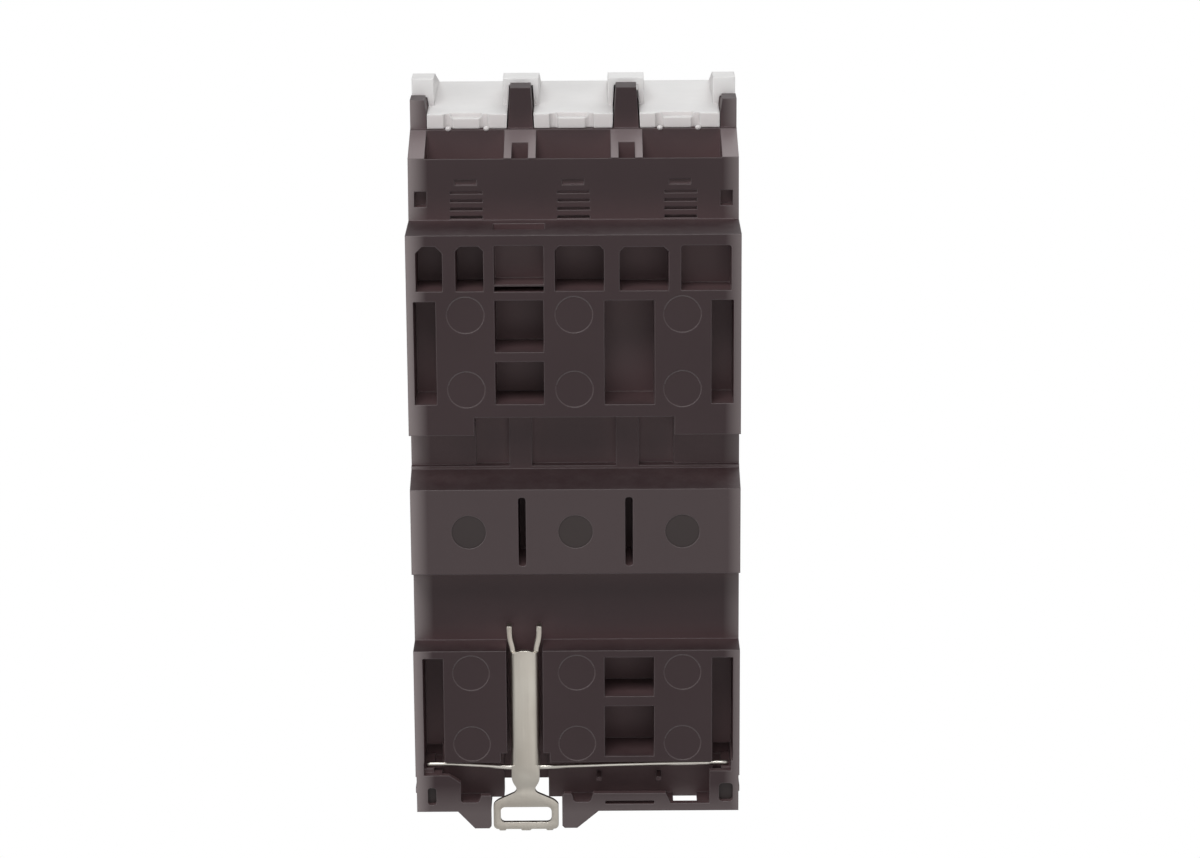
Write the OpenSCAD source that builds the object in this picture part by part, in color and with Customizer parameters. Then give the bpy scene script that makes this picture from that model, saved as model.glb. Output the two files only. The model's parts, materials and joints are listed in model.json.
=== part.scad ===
// Three-pole DIN rail contactor.
// X runs across the poles, Y from the mounting rail out to the operator, Z up.
// The origin is the rail's centre line, on the plane where the rail's flanges seat.

/* [Body] */
// Width over the side walls
body_w = 54; // [53:0.5:56]
// Distance between neighbouring poles
pole_pitch = 17.5; // [17.2:0.1:17.7]
// How far the rear planes stand behind the rail seat
rear_depth = 6; // [5.8:0.1:6.2]
// Front face of the hood, ahead of the rail seat
hood_y = 109; // [107:1:114]
// Height of the mid-plane between line and load terminals, above the rail centre
mid_z = 9; // [8.8:0.1:9.2]
// Thickness of the moulded outer walls
wall = 2; // [1.8:0.1:2.2]

/* [Rail] */
// Width of the top-hat rail over its flanges
rail_w = 35; // [34.8:0.1:35.2]
// Thickness of the rail's sheet
rail_t = 1; // [0.9:0.1:1.1]
// How far the fixed hooks and the clip prongs reach behind the rail
hook_bite = 1.1; // [0.9:0.1:1.2]

/* [Motion] */
// Travel of the armature and the contact carrier
carrier_travel = 5.9; // [5.7:0.1:5.9]
// Opening between the moving and the fixed contact tips
contact_gap = 3.9; // [3.7:0.1:4]

/* [Terminals] */
// Width of the power conductors' bars
bar_w = 8; // [7:0.5:8]
// Nominal diameter of the power terminal screws
screw_d = 6; // [5:0.5:6]

/* [Hidden] */

$fn = 40;
dark = [0.27, 0.24, 0.24];
pale = [0.93, 0.93, 0.91];
steel = [0.66, 0.64, 0.61];
copper = [0.80, 0.48, 0.32];
silver = [0.86, 0.86, 0.84];

half_w = body_w / 2;
back_y = -rear_depth;

// Heights on the rear face
hook_z = rail_w / 2 - hook_bite;
seat_top_z = rail_w / 2 + 0.3;
centre_edge_z = 19.4;
band_z = 7.2;
band_foot_z = 9.1;
lower_top_z = -20.5;
lower_end_z = -40;
rear_top_z = 49.6;
floor_z = -45.3;
flange_z = -48.7;
ear_z = -51.7;

// Depths along Y
slab_y = 6;
channel_y = 16;
split_y = 46;
floor_y = 59;
arc_y = 61.5;
top_y = 84;

// Heights of the top side, mirrored about mid_z for the load side
shoulder_z = 59.6;
channel_z = 57.6;
deck_z = 62.7;
rib_z = 68.4;
side_rib_z = 66.6;
side_tip_z = 67.5;
rib_tip_z = 69.5;
cover_z = 66;
lip_z = 65.2;
fin_z = 69.9;
front_deck_z = 57.4;
front_rib_z = 60.3;
entry_z = 58.7;
rib_x = pole_pitch / 2;
post_z = 43.5;

// Clip on the rail's lower edge
clip_x = -8.65;
clip_w = 4.66;
clip_t = 0.8;
clip_back_y = back_y + 0.4;
clip_front_y = -1.6;
wire_r = 0.35;
wire_y = -3.4;
wire_z = -41.8;
wire_end_z = -41.1;
trough_y = 0.5;

// Contact path
bar_y = 62;
bar_t = 2;
tip_t = 1.4;
bridge_t = 2;
bridge_tip_t = 1.2;
bridge_y = bar_y + bar_t + tip_t + contact_gap + bridge_tip_t;
tip_z = 9.5;
screw_z = 51 - mid_z;
bar_end_z = 56.1;
chamber_z = 32.4;
clamp_half_z = 5;

// Magnet
core_x = 8;
core_half_z = 25;
leg_z = 8;
centre_leg_z = 7;
core_back_y = 7.5;
core_yoke_y = 15;
core_face_y = 27;
armature_face_y = core_face_y + carrier_travel + 0.1;
armature_yoke_y = 44;
armature_front_y = 51.5;
bobbin_y = [15.6, 37.5];
plate_y = [54, 58];

// Coil terminals
lead_z = 35;
coil_z = 40.8;
lead_tab_y = 91.5;
coil_screw_d = 4;

// ---------------------------------------------------------------- helpers

// A box given by its limits on each axis
module block(x, y, z) {
    translate([x[0], y[0], z[0]]) cube([x[1] - x[0], y[1] - y[0], z[1] - z[0]]);
}

// Extrudes an outline drawn in X and Z through a range of Y
module through_y(y) {
    translate([0, y[1], 0]) rotate([90, 0, 0]) linear_extrude(y[1] - y[0]) children();
}

// Extrudes an outline drawn in Y and Z through a range of X
module through_x(x) {
    translate([x[0], 0, 0]) rotate([90, 0, 90]) linear_extrude(x[1] - x[0]) children();
}

// A cylinder along Y
module rod_y(r, y) {
    translate([0, y[1], 0]) rotate([90, 0, 0]) cylinder(r = r, h = y[1] - y[0]);
}

// A cylinder along X
module rod_x(r, x) {
    translate([x[0], 0, 0]) rotate([0, 90, 0]) cylinder(r = r, h = x[1] - x[0]);
}

module at_poles() {
    for (pole = [-1, 0, 1]) translate([pole * pole_pitch, 0, 0]) children();
}

// Repeats a line-side shape on the load side
module load_side() {
    translate([0, 0, 2 * mid_z]) mirror([0, 0, 1]) children();
}

module both_sides() {
    children();
    load_side() children();
}

// A round-cornered rectangle in the plane
module round_rect(x, z, r) {
    union() {
        translate([x[0] + r, z[0]]) square([x[1] - x[0] - 2 * r, z[1] - z[0]]);
        translate([x[0], z[0] + r]) square([x[1] - x[0], z[1] - z[0] - 2 * r]);
        for (u = [x[0] + r, x[1] - r])
            for (v = [z[0] + r, z[1] - r])
                translate([u, v]) circle(r = r);
    }
}

// Points of a helix along Y
function helix(r, turns, y, steps) =
    [for (i = [0 : turns * steps])
        let (a = 360 * i / steps, t = i / (turns * steps))
        [r * cos(a), y[0] + t * (y[1] - y[0]), r * sin(a)]];

function unit(v) = v / norm(v);

// Rings of a tube of radius r and a given number of sides around a route
function tube_points(route, r, sides) =
    let (last = len(route) - 1)
    [for (i = [0 : last])
        let (
            t = unit(route[min(i + 1, last)] - route[max(i - 1, 0)]),
            u = unit(cross(t, [0, 1, 0])),
            v = cross(t, u)
        )
        for (k = [0 : sides - 1])
            route[i] + r * (cos(360 * k / sides) * u + sin(360 * k / sides) * v)];

function tube_faces(rings, sides) = concat(
    [[for (k = [0 : sides - 1]) k]],
    [[for (k = [sides - 1 : -1 : 0]) (rings - 1) * sides + k]],
    [for (i = [0 : rings - 2]) for (k = [0 : sides - 1])
        let (n = (k + 1) % sides)
        [i * sides + k, (i + 1) * sides + k, (i + 1) * sides + n, i * sides + n]]);

// A coil spring along Y
module coil_spring(coil_r, wire, turns, y) {
    steps = 14;
    sides = 6;
    route = helix(coil_r, turns, [y[0] + wire, y[1] - wire], steps);
    polyhedron(tube_points(route, wire, sides), tube_faces(len(route), sides), convexity = 8);
}

// ---------------------------------------------------------------- rear housing

// Side outline of the rear housing, without its bottom flange
module base_outline() {
    polygon([
        [back_y, lower_end_z], [back_y, lower_top_z], [0, lower_top_z],
        [0, -band_foot_z], [back_y, -band_z], [back_y, band_z], [0, band_foot_z],
        [0, seat_top_z], [-rail_t - 0.3, seat_top_z], [-rail_t - 0.3, hook_z],
        [back_y, hook_z], [back_y, rear_top_z], [slab_y, rear_top_z],
        [slab_y + 1, shoulder_z], [channel_y, channel_z], [channel_y + 0.6, deck_z],
        [split_y, deck_z], [split_y, floor_z + 0.6], [channel_y, floor_z + 0.6],
        [channel_y - 3, floor_z], [back_y, floor_z],
        [back_y, floor_z + 0.9], [4, floor_z + 0.9], [4, lower_end_z]
    ]);
}

// Side outline of the room for the magnet
module magnet_room() {
    polygon([
        [slab_y, floor_z + 2.6], [split_y + 1, floor_z + 2.6], [split_y + 1, deck_z - wall],
        [channel_y + 3, deck_z - wall], [channel_y + 2, channel_z - wall],
        [slab_y + 3, channel_z - wall], [slab_y + 3, rear_top_z - wall],
        [slab_y, rear_top_z - wall]
    ]);
}

// A window moulded into a rear plane, with cut upper corners
module rear_window(x, z, depth, cut = 0) {
    through_y([back_y - 1, back_y + depth])
        polygon([
            [x[0], z[0]], [x[1], z[0]], [x[1], z[1] - cut], [x[1] - cut, z[1]],
            [x[0] + cut, z[1]], [x[0], z[1] - cut]
        ]);
}

module upper_windows() {
    rear_window([-25.4, -21.1], [40.4, 47.8], 8.5, 1.1);
    rear_window([-19, -14.5], [40.4, 47.8], 9, 0.8);
    rear_window([-12.8, -4.8], [41.5, 47.9], 5, 0.2);
    rear_window([-12.8, -4.8], [40.3, 41.2], 8, 0.1);
    rear_window([-3, 4.9], [40.4, 47.8], 9, 0.7);
    rear_window([7.4, 15.3], [40.4, 47.6], 8, 0.8);
    rear_window([17.3, 25.4], [40.4, 47.8], 6, 0.3);
    rear_window([-25.9, -22.3], [21.6, 38.7], 8.5, 0.1);
    rear_window([-12.8, -4.9], [30.3, 38.9], 9, 0.1);
    rear_window([-12.8, -4.9], [21.6, 28.7], 9, 0.1);
    rear_window([4.9, 13], [21.5, 38.8], 8.5, 0.1);
    rear_window([22.2, 25.8], [21.6, 38.8], 8.5, 0.1);
}

module lower_windows() {
    rear_window([-25.5, -22.1], [-42, -21.8], 9, 0.1);
    rear_window([4.6, 12.8], [-28.5, -21.7], 9, 0.1);
    rear_window([4.6, 12.8], [-39, -30.2], 9, 0.1);
    rear_window([22.4, 25.9], [-41.6, -21.8], 9, 0.1);
}

// Round marks on the solid piers beside the windows
module pier_marks() {
    for (z = [36.5, 24.1, -24.3, -36.7])
        at_poles() translate([0, 0, z]) rod_y(3.05, [back_y - 1, back_y + 0.1]);
    at_poles() rod_y(2.8, [back_y - 1, back_y + 0.15]);
}

// Recess behind the rail's upper flange, with two seat bars left standing
module rail_recess() {
    difference() {
        union() {
            block([-16.3, 16.2], [back_y - 1, 0], [hook_z - 1, centre_edge_z]);
            block([-16.3, 16.2], [-1, 1.8], [band_foot_z + 0.5, centre_edge_z]);
            block([-half_w - 1, half_w + 1], [-1, 1], [band_foot_z + 0.5, seat_top_z]);
        }
        for (x = [-8.95, 8.6])
            block([x - 1.85, x + 1.85], [0, 3.1], [band_foot_z, centre_edge_z + 1]);
    }
}

// Slots in the band that stands inside the rail
module band_slots() {
    for (x = [-8.75, 8.76])
        through_y([back_y - 1, 4]) round_rect([x - 0.62, x + 0.62], [-5.86, 5.86], 0.5);
}

// Channel that the metal clip slides in
module clip_channel() {
    block([clip_x - 3, clip_x + 3], [back_y - 1, 0], [lower_end_z - 1, lower_top_z + 1]);
    block([clip_x - 4.1, clip_x + 4.1], [back_y - 1, 0], [lower_end_z - 1, -38.4]);
}

// Outline of the flange along the bottom edge, with its two ears
module flange_outline() {
    difference() {
        polygon([
            [-half_w + 0.15, flange_z], [-20, flange_z], [-17.2, ear_z], [-14.8, ear_z],
            [-14.45, ear_z + 0.4], [-14.45, -45.9], [-16.1, -45.9], [-16.4, -46.8],
            [-16.7, -47.1], [-19.2, -47.1], [-19.5, -46.8], [-19.5, -43.6], [-21.4, -42.3],
            [-half_w + 0.15, -42.3]
        ]);
        round_rect([-25, -23.6], [-47.5, -44.5], 0.5);
    }
    difference() {
        polygon([
            [-2.6, -46.3], [-2.3, -45.6], [-1.1, -45.6], [-0.9, -45.9], [-0.7, -46.8],
            [-0.3, -47.1], [1.8, -47.1], [2.2, -46.8], [2.6, -45.6], [14.7, -45.6],
            [15.5, -47.4], [22, -47.4], [22, -41.7], [half_w - 0.15, -41.7],
            [half_w - 0.15, flange_z], [3.5, flange_z], [-0.1, ear_z], [-2.2, ear_z],
            [-2.6, ear_z + 0.4]
        ]);
        round_rect([4.6, 12.8], [-47.5, -46.9], 0.2);
        round_rect([23.6, 25.9], [-47.1, -43.9], 0.6);
    }
}

// Wall behind the spring wire, and the floor that joins it to the flange
module trough_wall() {
    for (x = [[-22.7, -12.4], [-4.9, 22.7]])
        block(x, [trough_y, 4.2], [flange_z + 0.15, lower_end_z + 1]);
    for (x = [[-22.7, -14.45], [-2.6, 16], [20, 22.7]])
        block(x, [back_y + 1.1, trough_y + 0.1], [flange_z, flange_z + 0.8]);
    for (x = [3.6, 13.6])
        block([x - 0.4, x + 0.4], [back_y + 3.2, trough_y + 0.1], [-44.6, -43.9]);
}

// Side walls and ledges at the ends of the spring wire, over a pocket in each lower corner
module wire_corners() {
    both_edges() {
        block([-half_w, -half_w + 1.4], [back_y, 4.2], [-42.5, lower_end_z + 0.1]);
        block([-half_w + 0.15, -22.6], [back_y + 1.1, 4.2], [flange_z, -42.3]);
        block([-25.6, -24], [back_y + 1.6, 3], [-42.4, wire_end_z - wire_r - 0.15]);
    }
}

module bottom_flange() through_y([back_y, back_y + 1.2]) flange_outline();

// Louvres on the upper face, one group behind each pole
module louvres() {
    at_poles() {
        for (i = [0 : 3])
            block([-2.65, 2.65], [slab_y - 2, slab_y + 1], [49.85 + 1.35 * i, 50.3 + 1.35 * i]);
        block([-1.9, 1.7], [slab_y - 2, slab_y + 1.1], [55.3, 56.2]);
    }
}

// Side profile of the rear barriers, falling towards the split
module barrier_profile(tip_z, top_z, end_z) {
    polygon([
        [17.5, shoulder_z - 1], [17.5, tip_z], [22.5, tip_z], [22.5, top_z],
        [30, top_z], [split_y, end_z], [split_y, shoulder_z - 1]
    ]);
}

// A barrier between two poles, narrower at its tip
module barrier() intersection() {
    through_x([-3, 3]) barrier_profile(rib_tip_z, rib_z, rib_z - 3.8);
    through_y([16, split_y])
        polygon([
            [-2.35, shoulder_z - 1], [2.35, shoulder_z - 1],
            [1.7, rib_tip_z], [-1.7, rib_tip_z]
        ]);
}

// The sloping foot at the rear end of each barrier
module barrier_foot() {
    difference() {
        through_x([-2.6, 2.6])
            polygon([
                [slab_y + 1, channel_z - 1], [slab_y + 1, shoulder_z + 0.1],
                [channel_y + 0.9, deck_z], [18, deck_z], [18, channel_z - 1]
            ]);
        block([-1.35, 1.35], [slab_y, 12.3], [channel_z - 2, deck_z]);
    }
}

// Side wall of an outer pole
module side_barrier() intersection() {
    union() {
        through_x([-half_w, -half_w + 2.7])
            barrier_profile(side_tip_z, side_rib_z, rib_z - 3.8);
        through_x([-half_w, -half_w + 2.7])
            polygon([
                [slab_y + 1, channel_z - 1], [slab_y + 1, shoulder_z + 0.1],
                [channel_y + 0.9, deck_z], [18, deck_z], [18, channel_z - 1]
            ]);
    }
    through_y([0, split_y])
        polygon([
            [-half_w, 50], [-half_w + 2.7, 50], [-half_w + 2.7, lip_z],
            [-half_w + 2.2, rib_z], [-half_w, rib_z]
        ]);
}

module both_edges() {
    children();
    mirror([1, 0, 0]) children();
}

module rear_barriers() {
    for (x = [-rib_x, rib_x]) translate([x, 0, 0]) {
        barrier_foot();
        barrier();
    }
    both_edges() side_barrier();
}

// Posts for the long screws
module screw_posts() {
    both_sides() for (x = [-rib_x, rib_x])
        translate([x, 0, post_z]) difference() {
            union() {
                block([-3.4, 3.4], [slab_y + 2.5, split_y], [-3.4, 13.6]);
                block([-3.4, 3.4], [channel_y + 4, split_y], [-3.4, deck_z - post_z - 1]);
            }
            rod_y(1.6, [30, split_y + 1]);
        }
}

// Ledges that hold the magnet's fixed core in place
module core_ledges() {
    for (z = [mid_z - core_half_z - 2.2, mid_z + core_half_z + 0.2])
        block([-core_x - 4, core_x + 4], [slab_y - 1, 20], [z, z + 2]);
    for (x = [-core_x - 2.2, core_x + 0.2])
        block([x, x + 2], [slab_y - 1, 14], [mid_z - core_half_z, mid_z + core_half_z]);
}

module base_housing() color(dark) {
    difference() {
        union() {
            difference() {
                through_x([-half_w, half_w]) base_outline();
                through_x([-half_w + wall, half_w - wall]) magnet_room();
                rail_recess();
                band_slots();
                clip_channel();
                upper_windows();
                lower_windows();
                pier_marks();
                louvres();
                block([-13.1, -4.7], [-1.4, 3.4], [rear_top_z - 1.2, rear_top_z + 1]);
                both_edges() block([-26, -24], [slab_y - 1, slab_y + 2.4], [51.8, 54.3]);
                block([-16.5, -1.5], [-7, 8], [floor_z - 1, -44]);
                for (x = [[-26.1, -12.4], [-4.9, 26.1]])
                    block(x, [back_y - 1, trough_y + 1], [floor_z - 1, floor_z + 1]);
            }
            bottom_flange();
            wire_corners();
            block([clip_x - 6, clip_x + 6], [2, 4.2], [-45.7, -40]);
            trough_wall();
            rear_barriers();
            load_side() intersection() {
                rear_barriers();
                block([-half_w, half_w], [20, split_y + 1], [50, 80]);
            }
            screw_posts();
            core_ledges();
        }
        block([-half_w - 1, -half_w + 0.9], [1.2, 2.4], [11, 13.4]);
    }
}

// ---------------------------------------------------------------- contact housing

module arc_chamber() {
    block([-7.9, 7.9], [arc_y, top_y + 1], [mid_z - chamber_z, mid_z + chamber_z]);
}

// Room for one box clamp, its screw and the conductor that enters from above
module terminal_room() {
    z = mid_z + screw_z;
    block([-7, 7], [48.5, top_y + 1], [z - 5.4, z + 5.4]);
    block([-5, 5], [51.5, 61.8], [z, front_deck_z + 1]);
    block([-bar_w / 2 - 0.2, bar_w / 2 + 0.2], [bar_y - 0.2, bar_y + bar_t + 0.2],
          [mid_z + chamber_z - 1, z]);
}

// Room for the moving system, the arc plates and the coil's leads
module contact_rooms() {
    block([-half_w + wall, half_w - wall], [split_y - 1, floor_y], [mid_z - 29, mid_z + 29]);
    difference() {
        at_poles() arc_chamber();
        for (x = [-rib_x, rib_x])
            block([x - 2, x + 2], [floor_y, top_y + 2], [lead_z - 2.4, lead_z + 2.4]);
    }
    for (x = [-rib_x, rib_x])
        block([x - 0.7, x + 0.7], [floor_y - 1, top_y + 1], [lead_z - 1.8, lead_z + 1.8]);
    at_poles() block([-6.4, 6.4], [floor_y - 1, arc_y + 1], [mid_z - 4, mid_z + 4]);
}

module contact_housing() color(dark) difference() {
    union() {
        block([-half_w, half_w], [split_y, top_y], [2 * mid_z - front_deck_z, front_deck_z]);
        both_sides() {
            for (x = [-rib_x, rib_x])
                block([x - 1.5, x + 1.5], [split_y, top_y], [front_deck_z - 1, front_rib_z]);
            both_edges()
                block([-half_w, -half_w + 1.9], [split_y, top_y],
                      [front_deck_z - 1, entry_z]);
        }
    }
    contact_rooms();
    at_poles() both_sides() terminal_room();
    both_edges() for (z = [mid_z - 24, mid_z + 15])
        block([-half_w - 1, -half_w + 0.8], [62, 76], [z, z + 9]);
    both_sides() for (x = [-rib_x, rib_x]) translate([x, 0, post_z]) {
        rod_y(1.6, [split_y - 1, top_y]);
        rod_y(2.25, [81, top_y + 1]);
    }
}

// ---------------------------------------------------------------- covers

// The pale cover over three terminals: a raised rear deck with a lip, hollow fins over the
// barriers, and a lower deck with the conductors' entries
module terminal_cover() difference() {
    union() {
        through_x([-half_w, half_w])
            polygon([
                [17, deck_z + 0.1], [17, lip_z], [45, cover_z], [50, entry_z],
                [top_y, entry_z], [top_y, front_deck_z + 0.1],
                [split_y + 0.1, front_deck_z + 0.1], [split_y + 0.1, deck_z + 0.1]
            ]);
        for (x = [-rib_x, rib_x]) cover_fin([x - 3, x + 3]);
        both_edges() cover_fin([-half_w, -half_w + 3.7]);
    }
    for (x = [-rib_x, rib_x]) {
        translate([x, 0, 0]) fin_slot();
        block([x - 1.8, x + 1.8], [split_y, top_y + 1], [front_deck_z - 1, front_rib_z + 0.3]);
    }
    both_edges() {
        side_slot();
        block([-half_w - 1, -half_w + 2.2], [split_y, top_y + 1],
              [front_deck_z - 1, front_rib_z + 0.3]);
    }
    at_poles() {
        block([-5.6, 5.6], [18.6, 44], [deck_z - 1, lip_z - 1.2]);
        block([-5, 5], [51.5, 61.8], [front_deck_z - 1, entry_z + 1]);
        lip_relief();
    }
}

// The cover's rear lip: a dip between two half-round hook channels
module lip_relief() {
    hook_x = [-3.2, 2.7];
    through_y([16, 18.3])
        polygon([
            [hook_x[0] - 0.4, lip_z + 1], [hook_x[0] + 0.6, lip_z - 0.7],
            [hook_x[1] - 0.6, lip_z - 0.7], [hook_x[1] + 0.4, lip_z + 1]
        ]);
    for (x = hook_x)
        translate([x, 16.9, deck_z - 1]) cylinder(r = 0.75, h = lip_z - deck_z + 2);
}

module cover_fin(x) {
    through_x(x)
        polygon([
            [24, deck_z + 0.1], [24.6, fin_z], [30, fin_z], [46, cover_z - 0.1],
            [46, deck_z + 0.1]
        ]);
}

// Side profile of the slots that fit over the barriers
module slot_profile(top_z) {
    polygon([
        [16, deck_z - 1], [16, top_z], [30, top_z],
        [split_y + 0.3, rib_z - 3.4], [split_y + 0.3, deck_z - 1]
    ]);
}

// The slot in a fin over the barrier between two poles
module fin_slot() intersection() {
    through_x([-4, 4]) slot_profile(rib_z + 0.3);
    through_y([15, split_y + 1])
        polygon([[-2.35, deck_z - 1], [2.35, deck_z - 1], [1.95, rib_z + 1], [-1.95, rib_z + 1]]);
}

// The slot in an outer fin over the side wall
module side_slot() intersection() {
    through_x([-half_w - 1, -half_w + 3]) slot_profile(side_rib_z + 0.2);
    through_y([15, split_y + 1])
        polygon([
            [-half_w - 1, deck_z - 1], [-half_w + 2.8, deck_z - 1], [-half_w + 2.8, lip_z],
            [-half_w + 2.35, rib_z + 0.15], [-half_w - 1, rib_z + 0.15]
        ]);
}

module line_terminal_cover() color(pale) terminal_cover();

module load_terminal_cover() color(pale) load_side() terminal_cover();

// Side outline of the hood
module hood_outline(inset) {
    step_y = hood_y - 10 - inset;
    polygon([
        [top_y - 2 * inset, mid_z - 37 + inset], [step_y, mid_z - 37 + inset],
        [step_y, mid_z - 26 + inset], [hood_y - inset, mid_z - 24 + inset],
        [hood_y - inset, mid_z + 23 - inset], [step_y, mid_z + 25 - inset],
        [step_y, mid_z + 37 - inset], [top_y - 2 * inset, mid_z + 37 - inset]
    ]);
}

// Room for one coil terminal, cut from a block in the hood
module coil_terminal_room() {
    block([-3.8, 3.8], [85.8, hood_y - 11.6], [coil_z - 3.5, coil_z + 3.4]);
    block([-2.6, 2.6], [87, 91.6], [coil_z, mid_z + 38]);
    block([-2.8, 2.8], [lead_tab_y - 0.3, lead_tab_y + 1.2], [lead_z - 1.8, coil_z]);
    block([-0.8, 0.8], [top_y - 1, lead_tab_y + 1.2], [lead_z - 1.8, lead_z + 1.8]);
    translate([0, 0, coil_z]) rod_y(2.5, [90, hood_y]);
}

module front_cover() color(pale) {
    difference() {
        union() {
            difference() {
                through_x([-half_w + 0.5, half_w - 0.5]) hood_outline(0);
                through_x([-half_w + 2.3, half_w - 2.3]) hood_outline(wall - 0.2);
            }
            both_sides()
                block([-half_w, half_w], [top_y, top_y + 2.5], [mid_z + 36.5, entry_z]);
            both_sides()
                block([-rib_x - 2, rib_x + 2], [top_y, top_y + 2.5], [mid_z + 36.5, front_rib_z]);
            for (x = [-rib_x, rib_x])
                block([x - 6, x + 6], [top_y, hood_y - 10], [lead_z - 2.6, mid_z + 36.5]);
        }
        at_poles() both_sides() {
            translate([0, 0, mid_z + screw_z]) rod_y(3.4, [top_y - 1, top_y + 4]);
            block([-6.9, 6.9], [top_y - 1, top_y + 4], [entry_z + 0.2, front_rib_z + 1]);
        }
        for (x = [-rib_x, rib_x]) translate([x, 0, 0]) coil_terminal_room();
        block([-4.3, 4.3], [hood_y - 4, hood_y + 1], [mid_z - 6.3, mid_z + 6.3]);
        block([-20, 20], [hood_y - 0.9, hood_y + 1], [mid_z + 10, mid_z + 21]);
        for (x = [-15.5, 15.5])
            for (z = [mid_z - 17, mid_z])
                block([x - 2.2, x + 2.2], [hood_y - 1.2, hood_y + 1], [z - 3.5, z + 3.5]);
    }
}

module label_plate() color("white")
    block([-19.8, 19.8], [hood_y - 0.85, hood_y - 0.45], [mid_z + 10.2, mid_z + 20.8]);

module label_window() color([0.85, 0.9, 0.92])
    block([-19.8, 19.8], [hood_y - 0.4, hood_y], [mid_z + 10.2, mid_z + 20.8]);

// ---------------------------------------------------------------- rail clip

// Outline of the clip's pull tab and neck
module tab_outline() {
    difference() {
        union() {
            round_rect([-5.44, 5.44], [-52, -47.3], 0.7);
            polygon([
                [-2.33, -42], [-2.33, -43.6], [-1.5, -44.8], [-1.6, -45.4], [-4.9, -47],
                [-5, -48], [5, -48], [4.9, -47], [1.6, -45.4], [1.5, -44.8], [2.33, -43.6],
                [2.33, -42]
            ]);
            for (x = [-4, 0, 4])
                translate([x - 0.9, -52.25]) square([1.8, 0.5]);
        }
        round_rect([-4.26, 4.26], [-50.8, -48.1], 0.7);
    }
}

// One bent-up flange of the clip, with the prong that hooks behind the rail
module clip_flange() {
    tip_z = -rail_w / 2 + hook_bite;
    block([-clip_w / 2, -clip_w / 2 + clip_t], [clip_back_y, clip_front_y],
          [wire_z + wire_r + 0.02, lower_top_z - 1.4]);
    through_y([clip_back_y, clip_front_y])
        polygon([
            [-clip_w / 2, lower_top_z - 1.5], [-clip_w / 2 + clip_t, lower_top_z - 1.5],
            [-clip_w / 2 + 0.5, lower_top_z + 0.9], [-clip_w / 2 + 0.3, tip_z],
            [-clip_w / 2 - 0.1, tip_z + 0.3], [-clip_w / 2 - 0.45, tip_z],
            [-clip_w / 2 - 0.35, lower_top_z + 0.9]
        ]);
}

module rail_clip() color(steel) translate([clip_x, 0, 0]) {
    block([-clip_w / 2, clip_w / 2], [clip_back_y, clip_back_y + clip_t], [-42.1, -20.8]);
    clip_flange();
    mirror([1, 0, 0]) clip_flange();
    through_y([clip_back_y, clip_back_y + clip_t]) tab_outline();
}

// The spring wire across the housing, held down at its middle by the clip
module clip_spring() color(steel) {
    saddle = clip_w / 2 + 0.6;
    bends = [
        [-25.2, wire_end_z], [-23.5, wire_end_z], [-22, wire_end_z - 0.12],
        [clip_x - saddle - 1.2, wire_z + 0.1], [clip_x - saddle, wire_z],
        [clip_x + saddle, wire_z], [clip_x + saddle + 1.2, wire_z + 0.04],
        [22, wire_end_z - 0.12], [23.5, wire_end_z], [25.2, wire_end_z]
    ];
    route = [for (b = bends) [b[0], wire_y, b[1]]];
    polyhedron(tube_points(route, wire_r, 12), tube_faces(len(route), 12), convexity = 4);
}

// ---------------------------------------------------------------- magnet and coil

// An E of stacked laminations: yoke between two depths, three legs to the pole faces
module e_core(yoke, face) {
    low = min(yoke[0], yoke[1], face);
    high = max(yoke[0], yoke[1], face);
    block([-core_x, core_x], yoke, [mid_z - core_half_z, mid_z + core_half_z]);
    for (z = [[-core_half_z, -core_half_z + leg_z], [-centre_leg_z, centre_leg_z],
              [core_half_z - leg_z, core_half_z]])
        block([-core_x, core_x], [low, high], [mid_z + z[0], mid_z + z[1]]);
}

module fixed_core() color(steel) difference() {
    e_core([core_back_y, core_yoke_y], core_face_y);
    for (z = [-core_half_z + 2.4, core_half_z - 4])
        ring_groove(z);
}

// Groove across an outer pole face for a shading ring
module ring_groove(z) {
    block([-core_x - 1, core_x + 1], [core_face_y - 2, core_face_y + 1],
          [mid_z + z, mid_z + z + 1.6]);
}

module shading_rings() color(copper)
    for (s = [0, 1]) translate([0, 0, s ? 0 : 2 * mid_z]) mirror([0, 0, 1 - s]) {
        z = mid_z + core_half_z;
        block([-core_x - 1.3, core_x + 1.3], [core_face_y - 1.9, core_face_y - 0.4],
              [z - 3.9, z - 2.5]);
        for (x = [-core_x - 1.3, core_x + 0.1])
            block([x, x + 1.2], [core_face_y - 1.9, core_face_y - 0.4], [z - 3.9, z + 1.2]);
        block([-core_x - 1.3, core_x + 1.3], [core_face_y - 1.9, core_face_y - 0.4],
              [z + 0.1, z + 1.2]);
    }

module core_cushions() color([0.1, 0.1, 0.1])
    for (z = [-17, 17])
        block([-core_x + 1, core_x - 1], [slab_y, core_back_y], [mid_z + z - 5, mid_z + z + 5]);

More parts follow.
